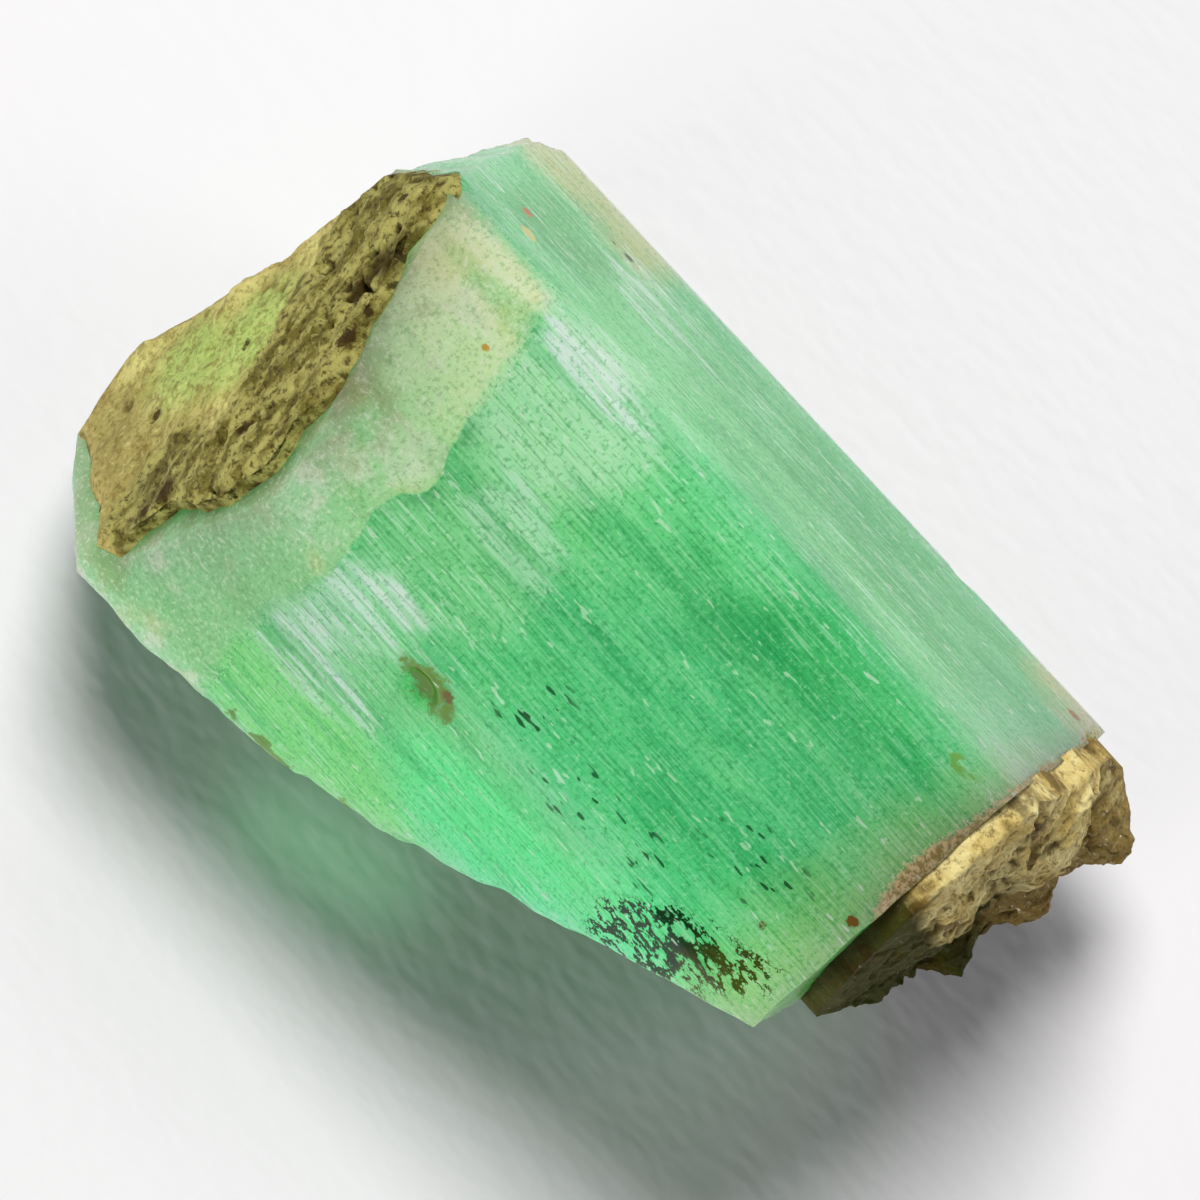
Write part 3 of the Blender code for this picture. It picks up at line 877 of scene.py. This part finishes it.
def frost_tone(point, cloud, wisps):
    """The frosted layer's colour: green on the left, tan on the right, dusty by the crust."""
    across = smooth(-2.6, 2.2, point[..., 1] + 0.8 * cloud)
    fine = rough(point, 0.5, 74)
    tan = smooth(0.1, 0.5, rough(point, 0.8, 75) + 0.25 * across - 0.1)
    dust = smooth(0.35, 0.95, smooth(-1.1, 0.1, inside_crust(point)) + 0.9 * fine)
    return painted(
        (156, 222, 154),
        (across, (222, 248, 190)),
        (0.6 * smooth(0.0, 0.4, fine), (228, 244, 212)),
        (0.5 * smooth(0.0, -0.4, wisps), (136, 200, 130)),
        (0.45 * tan, (214, 214, 142)),
        (0.5 * dust, (128, 138, 62)),
    )


def painted_sheen_share(point, cloud):
    """How strongly a painted sheen highlight covers the skin, from 0 to 1: ragged milky patches
    drawn out along the axis.
    """
    ragged = 0.9 * rough(point * (0.9, 4.5, 4.5), 1.0, 73) + 0.5 * cloud
    patches = [weight * smooth(0.05, 0.60, near(point, m, r) + ragged) for m, r, weight in SHEEN_HIGHLIGHTS]
    return np.max(patches, axis=0)


def moss_density(point):
    """How densely dark threads lie: 0 outside a long oval, 1 inside it, and more at its knot."""
    along = (point @ MOSS_ALONG - MOSS_MIDDLE[0]) / MOSS_RADII[0]
    across = (point @ MOSS_ACROSS - MOSS_MIDDLE[1]) / MOSS_RADII[1]
    depth = 1 - np.hypot(along, across) + 0.45 * rough(point, 0.55, 78)
    knot = smooth(0.0, 0.7, near(point, *MOSS_KNOT))
    return (smooth(-0.05, 0.55, depth) + 0.9 * knot) * smooth(1.5, 2.5, point[..., 2])


def marks(point):
    """Dark marks: how far inside the nearest one a point lies, and that mark's colour."""
    ragged = rough(point, 0.22, 77, octaves=3)
    inside = np.full(point.shape[:-1], -1.0)
    colour = np.zeros(point.shape)
    for middle, radii, own, raggedness in MARKS:
        depth = near(point, middle, radii) + raggedness * ragged
        colour = np.where((depth > inside)[..., None], linear(*own), colour)
        inside = np.maximum(inside, depth)
    return inside, colour


def streak_share(point, cloud):
    """How strongly pale streaks show, from 0 to 1: towards the sides and the slanted end."""
    x, y, _ = np.moveaxis(point, -1, 0)
    towards = [smooth(0.8, 3.2, y), smooth(1.6, -0.6, x), smooth(-2.8, -3.6, y)]
    return np.maximum.reduce(towards) * smooth(-0.15, 0.25, cloud)


# %% [markdown]
# ## Hand the fields to the mesh
#
# Two noises are shared by several fields, so that neighbouring patches agree: a broad
# cloud, and wisps along the axis. The frost is carried as a distance over its own
# softness, because its edge is crisp in front and fades away at the sides.

# %% Carry the fields
cloud = rough(crystal, 1.1, 71)
wisps = rough(crystal * (0.5, 2.2, 2.2), 1.0, 72)
frost = frost_distance(crystal)
softness = 0.30 - 0.26 * crispness(crystal)
marked, mark = marks(crystal)
specks = np.max([near(crystal, m, r) for m, r in SPECK_ZONES], axis=0)
fields = {
    "tone": emerald_tone(crystal, frost, cloud, wisps),
    "pale": frost_tone(crystal, cloud, wisps),
    "frost": np.clip(frost / softness, -4, 4),
    "sheen": painted_sheen_share(crystal, cloud),
    "marked": marked,
    "mark": mark,
    "moss": moss_density(crystal),
    "streaky": streak_share(crystal, cloud),
    "specks": smooth(0.0, 0.6, specks),
}
for name, values in fields.items():
    carry(emerald.data, name, values)
print("the emerald carries", ", ".join(fields))

# %% [markdown]
# ## Emerald
#
# Emerald is never as clear as glass: fine cracks and tubes scatter light, and a rough
# crystal is etched. So the shader lets a good quarter of the light through, with beryl's
# index of 1.58 and green absorption on the way, and turns the rest back as a soft body
# colour. The dark threads lie where a noise is near its middle value: thin wandering lines.

# %% Finish of the emerald
BERYL_INDEX, CLEARNESS, SHININESS = 1.58, 0.28, 0.35
SCATTER_COLOURS, SCATTER_LENGTH = (0.5, 1.0, 0.6), 8 * MM
ABSORBED, ABSORPTION_DENSITY = (0.20, 0.85, 0.42, 1.0), 330.0
MOSS_WIDTH, MOSS_EDGE = 0.062, 0.03


def emerald_finish():
    """Layers over the carried tone: painted sheen highlight, streaks, hairlines, grain, frost,
    skin and marks.
    """
    f = Finish("emerald")
    skin, crest, sheen = f.field("skin"), f.field("crest"), f.field("sheen")
    streaky = f.field("streaky")
    lines = f.noise(1.0, 2.0, 0.6, f.stretched(0.5, 9.0, 9.0))
    hair = f.noise(1.0, 1.0, 0.6, f.stretched(1.2, 26.0, 26.0))
    grain = f.noise(12.0, 2.0, 0.75)
    flecks = f.noise(1.0, 1.0, 0.6, f.stretched(3.0, 9.0, 9.0))
    tangle = f.noise(1.0, 4.0, 0.74, f.stretched(1.5, 2.6, 2.6)) - 0.5
    frosted = (f.field("frost") + (grain - 0.5) * 1.2).step(-0.8, 0.8)
    skinned = (skin + (grain - 0.5) * 0.3).step(-0.05, 0.06)
    marked = (f.field("marked") + (grain - 0.5) * 1.1).step(0.0, 0.35)
    threads = f.field("moss") * MOSS_WIDTH - tangle.at_least(0 - tangle)
    bare = 1 - frosted

    pale = f.layers(
        f.tone("pale"),
        (grain.step(0.54, 0.68) * 0.5, (240, 252, 226)),
        (grain.step(0.49, 0.33) * 0.42, (116, 158, 98)),
    )
    tan = f.colour(grain.step(0.40, 0.60), (150, 124, 64), (226, 206, 142))
    moss = f.colour((f.x + tangle * 4.0).step(5.5, 6.3), (0, 34, 4), (66, 56, 6))
    body = f.layers(
        f.tone("tone"),
        # painted sheen highlight: near-white over the milky patches
        (sheen * bare * (0.25 + lines.step(0.42, 0.58) * 0.6), (232, 255, 240)),
        (lines.step(0.56, 0.66) * streaky * 0.45, (196, 238, 206)),
        (hair.step(0.47, 0.33) * 0.32, (30, 140, 74)),
        (hair.step(0.55, 0.68) * 0.22, (206, 244, 214)),
        (hair.step(0.60, 0.72) * streaky * 0.5, (214, 246, 220)),
        (grain.step(0.48, 0.32) * 0.45, (36, 150, 84)),
        (grain.step(0.55, 0.72) * 0.34, (190, 240, 200)),
        (frosted * 0.95, pale),
        (skinned * 0.92, tan),
        (marked * 0.96, f.tone("mark")),
        (threads.step(0.0, MOSS_EDGE) * 0.97, moss),
        (flecks.step(0.64, 0.69) * f.field("specks") * 0.85, (14, 60, 32)),
        (flecks.step(0.31, 0.25) * 0.5, (226, 250, 226)),
    )

    dull = (frosted * 0.42 + crest * 0.40).at_most(0.45)
    f.surface({
        "Base Color": body,
        "Roughness": 0.18 + dull + skinned * 0.5 + sheen * 0.15,
        "IOR": BERYL_INDEX,
        "Transmission Weight": CLEARNESS,
        "Specular IOR Level": SHININESS,
        "Subsurface Weight": 1.0,
        "Subsurface Radius": SCATTER_COLOURS,
        "Subsurface Scale": SCATTER_LENGTH,
    })
    f.bump(hair * bare * 0.25 + grain * (0.35 + frosted * 0.5 + skinned), 0.4, 0.03)
    absorption = {"Color": ABSORBED, "Density": ABSORPTION_DENSITY}
    volume = f.node("ShaderNodeVolumeAbsorption", {}, absorption)
    f.feed(f.tree.nodes["Material Output"].inputs["Volume"], volume)
    f.put_on(emerald)


emerald_finish()

# %% [markdown]
# ## The two rocks
#
# Both are the same weathered rock, so they share one dull, gritty surface. The crust's thin
# outer part has a painted green glow for light that comes through it, painted shade darkens
# its pitted layers, and a few single spots are dark.

# %% Finish of the crust
CRUST_SPOTS = (
    ((-4.69, -0.26, 4.39), 0.24), ((-4.84, -2.13, 3.13), 0.18), ((-5.21, -3.44, 1.87), 0.26),
    ((-5.79, 1.86, 4.00), 0.13), ((-6.07, -1.02, 1.99), 0.12), ((-6.53, -2.57, 0.45), 0.15),
    ((-5.31, -3.87, 1.49), 0.20),
)
CRUST_PAINTED_GLOW = (((-6.2, -0.9, 1.8), (0.9, 1.4, 1.5)), ((-6.7, -1.75, 0.7), (1.0, 1.2, 1.6)))
LOW_CORNER = ((-5.3, -3.5, 1.7), (1.5, 1.6, 1.9))


def stony(f, base, grains, roughness, depth, piece):
    """The surface that both rocks share: dull, with grains that catch the light."""
    roughness = roughness + (grains - 0.5) * 0.3
    f.surface({"Base Color": base, "Roughness": roughness, "Specular IOR Level": 0.2})
    f.bump(grains, 0.9, depth)
    f.put_on(piece)


def crust_finish():
    """A smooth outer part with a painted green glow, a layered inner band, and pits with painted
    shade.
    """
    f = Finish("brown crust")
    band, edge, relief = f.field("band"), f.field("edge"), f.field("relief")
    grains = f.noise(9.0, 5.0, 0.7)
    patches = f.noise(1.3, 5.0, 0.65)
    layered = f.noise(1.0, 5.0, 0.65, f.stretched(2.6, 0.9, 2.6))
    crumbs = f.noise(4.0, 4.0, 0.7)
    # Painted glow: a green-yellow patch on the outer part, for light that comes through the thin
    # crust.
    upper, lower = (f.near(*patch) for patch in CRUST_PAINTED_GLOW)
    glow = (upper.at_least(lower) + (patches - 0.5) * 0.8 + (crumbs - 0.5) * 0.6).step(0.0, 0.6)
    low = (f.y * -1 + (patches - 0.5) * 1.0).step(1.7, 3.2)
    outer = f.layers(
        f.colour(patches.step(0.38, 0.62), (222, 216, 134), (188, 180, 104)),
        (glow * 0.75, (176, 208, 112)),
        (low * 0.8, (166, 150, 84)),
        (edge.step(0.55, 0.05) * 0.5, (218, 196, 124)),
        (crumbs.step(0.50, 0.36) * 0.55, (128, 108, 48)),
        (grains.step(0.50, 0.38) * 0.5, (112, 94, 40)),
        (grains.step(0.56, 0.68) * 0.45, (232, 224, 160)),
    )
    inner = f.layers(
        f.colour(layered.step(0.40, 0.60), (112, 104, 46), (180, 174, 100)),
        (grains.step(0.50, 0.38) * 0.8, (66, 52, 26)),
        (grains.step(0.58, 0.70) * 0.6, (204, 196, 132)),
    )
    low_corner = (f.near(*LOW_CORNER) + (patches - 0.5) * 1.0).step(0.0, 0.5)
    banded = band + (patches - 0.5) * 0.8 + (crumbs - 0.5) * 1.2
    base = f.layers(
        outer,
        (banded.at_least(low_corner * 0.8).step(0.25, 0.65), inner),
        # painted shade: the pits are darkened where the relief is low
        (relief.step(-0.03, -0.14) * 0.85, (52, 38, 18)),
    )
    for middle, radius in CRUST_SPOTS:
        spot = f.near(middle, (radius, radius * 1.3, radius * 1.2)) + (grains - 0.5) * 2.2
        base = f.colour(spot.step(0.15, 0.5) * 0.9, base, (54, 34, 14))
    stony(f, base, grains, 0.75, 0.08, crust)


crust_finish()

# %% [markdown]
# ## The lump's colours and painted light
#
# The lump is brightest where it faces the light. Painted olive shade darkens its flank, its
# foot and the side turned from the light, painted shade darkens the crease between its two
# masses, and painted glints stand for mica catching the light.


# %% Finish of the host rock
def rock_finish():
    """Sandy patches, painted shade on the flank, foot, turned side and crease, grains and painted
    glints.
    """
    f = Finish("host rock")
    grains = f.noise(8.0, 5.0, 0.7)
    patches = f.noise(1.2, 5.0, 0.65)
    # Painted glints: white specks for mica catching the light.
    painted_glints = f.noise(6.0, 2.0).step(0.70, 0.75)
    # Painted shade: the side turned from the light, the low flank and the foot are darker and
    # olive.
    shaded_side = (f.y + f.z * 0.17 + (patches - 0.5) * 0.9).step(1.30, 0.85)
    foot_shade = (f.z + (patches - 0.5) * 2.0).step(2.4, 1.2) * f.y.step(2.6, 1.8)
    flank_shade = (f.z + (patches - 0.5) * 2.4).step(1.8, -0.8)
    painted_shade = shaded_side.at_least(foot_shade)
    base = f.layers(
        f.colour(patches.step(0.38, 0.62), (214, 186, 108), (246, 230, 160)),
        (flank_shade * 0.8, (112, 84, 22)),
        (painted_shade * 0.95, (46, 56, 2)),
        # painted shade in the crease and the dents
        (f.field("crevice_shade") * 0.75, (70, 48, 12)),
        (grains.step(0.50, 0.36) * 0.7 * (1 - painted_shade * 0.6), (108, 82, 30)),
        (grains.step(0.56, 0.68) * 0.5 * (1 - painted_shade * 0.9), (250, 236, 184)),
        (painted_glints * 0.8 * (1 - painted_shade * 0.7), (250, 246, 230)),
    )
    stony(f, base, grains, 0.78, 0.10, rock)


rock_finish()

# %% [markdown]
# ## Paper, light and camera
#
# The crystal lies on white paper under soft light: a broad lamp behind it throws a soft
# shadow towards the viewer, two fill that shadow, and a smaller one draws the sheen and is
# the only one seen in reflections. A tiny green lamp under the overhang stands for the
# light that a real emerald passes on to the paper. The camera looks down steeply with a
# long lens, as a macro lens does from arm's length.

# %% Stage the scene
AZIMUTH, ELEVATION = math.radians(49), math.radians(75)
CAMERA_DISTANCE = 220.0
PIXELS_PER_MM, FRAME_PIXELS = 66.0, 1200
LOOK_AT = Vector((0.010, 0.665, APOTHEM)) * MM
LAMP_DISTANCE = 300
WHITE, DAYLIGHT = (1.0, 1.0, 1.0), (1.0, 0.99, 0.97)
LAMPS = {
    "window": (216, 71, 135, 0.84, DAYLIGHT, False),
    "sheen": (217, 48, 90, 0.10, DAYLIGHT, True),
    "left fill": (-5, 6, 120, 0.70, WHITE, False),
    "right fill": (139, 20, 160, 0.19, WHITE, False),
}
GLOW_PLACE, GLOW_SIZE, GLOW_TURN = (-0.6, -4.4, 1.1), (3.0, 0.8), math.radians(19)
GLOW_POWER, GLOW_GREEN = 5.0e-6, (0.30, 1.0, 0.45)
PAPER_HALF = 400
SURROUND_STRENGTH = 0.06


def direction(azimuth, elevation):
    """The way from the object to a viewer at that azimuth and elevation."""
    flat = math.cos(elevation)
    return Vector((math.sin(azimuth) * flat, -math.cos(azimuth) * flat, math.sin(elevation)))


def make_camera():
    """A long lens that shows the crystal at a fixed number of pixels per mm."""
    data = bpy.data.cameras.new("macro camera")
    data.lens = data.sensor_width * PIXELS_PER_MM * CAMERA_DISTANCE / FRAME_PIXELS
    data.clip_start = 0.01
    camera = placed("macro camera", data)
    back = direction(AZIMUTH, ELEVATION)
    camera.location = LOOK_AT + back * CAMERA_DISTANCE * MM
    camera.rotation_euler = (-back).to_track_quat("-Z", "Y").to_euler()
    bpy.context.scene.camera = camera


def new_lamp(name, shape, power, tint, shiny):
    """An area lamp; only a shiny one shows in reflections and through the crystal."""
    data = bpy.data.lights.new(name, "AREA")
    data.shape, data.energy, data.color = shape, power, tint
    lamp = placed(name, data)
    lamp.visible_glossy = lamp.visible_transmission = shiny
    return lamp


def make_lamp(name, azimuth, elevation, size, power, tint, shiny):
    """A round lamp far off, turned towards the crystal; its size is in mm."""
    lamp = new_lamp(name, "DISK", power, tint, shiny)
    lamp.data.size = size * MM
    way = direction(math.radians(azimuth), math.radians(elevation))
    lamp.location = way * LAMP_DISTANCE * MM
    lamp.rotation_euler = (-way).to_track_quat("-Z", "Y").to_euler()


def make_glow():
    """The small green lamp under the overhang, which looks straight down."""
    lamp = new_lamp("green glow", "RECTANGLE", GLOW_POWER, GLOW_GREEN, False)
    lamp.data.size, lamp.data.size_y = GLOW_SIZE[0] * MM, GLOW_SIZE[1] * MM
    lamp.location = Vector(GLOW_PLACE) * MM
    lamp.rotation_euler = (0.0, 0.0, GLOW_TURN)
    lamp.visible_camera = False


def make_paper():
    """A sheet of white paper with a faint tooth."""
    half = PAPER_HALF * MM
    mesh = bpy.data.meshes.new("paper")
    corners = [(-half, -half, 0), (half, -half, 0), (half, half, 0), (-half, half, 0)]
    mesh.from_pydata(corners, [], [(0, 1, 2, 3)])
    paper = placed("paper", mesh)
    paper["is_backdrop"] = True
    f = Finish("paper")
    f.surface({"Base Color": shade(235, 234, 237), "Roughness": 0.9})
    f.bump(f.noise(3.0, 1.0, 0.7, f.stretched(0.5, 1.0, 1.0)), 0.25, 0.08)
    f.put_on(paper)


def make_surround():
    """A weak white world, and few bounces: the crystal's own colour carries the look."""
    world = bpy.data.worlds.new("white surround")
    world.use_nodes = True
    values = world.node_tree.nodes["Background"].inputs
    values["Color"].default_value = (*WHITE, 1.0)
    values["Strength"].default_value = SURROUND_STRENGTH
    bpy.context.scene.world = world
    cycles = bpy.context.scene.cycles
    cycles.max_bounces, cycles.transmission_bounces = 3, 3
    cycles.diffuse_bounces, cycles.glossy_bounces = 1, 1
    bpy.context.scene.view_settings.view_transform = "Standard"


make_camera()
make_paper()
make_surround()
make_glow()
for name, settings in LAMPS.items():
    make_lamp(name, *settings)
print(len(LAMPS) + 1, "lamps,", round(FRAME_PIXELS / PIXELS_PER_MM, 1), "mm across the picture")

# %% [markdown]
# ## Compare with the frame
#
# The finished pieces are meant to keep the CAD model's size, so the box is measured again
# and its growth against the CAD box is printed.

# %% Measure and finish
new_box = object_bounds()
growth = [round((n - c) / MM, 3) for old, new in zip(cad_box, new_box) for c, n in zip(old, new)]
print("growth of the box, mm:", growth)
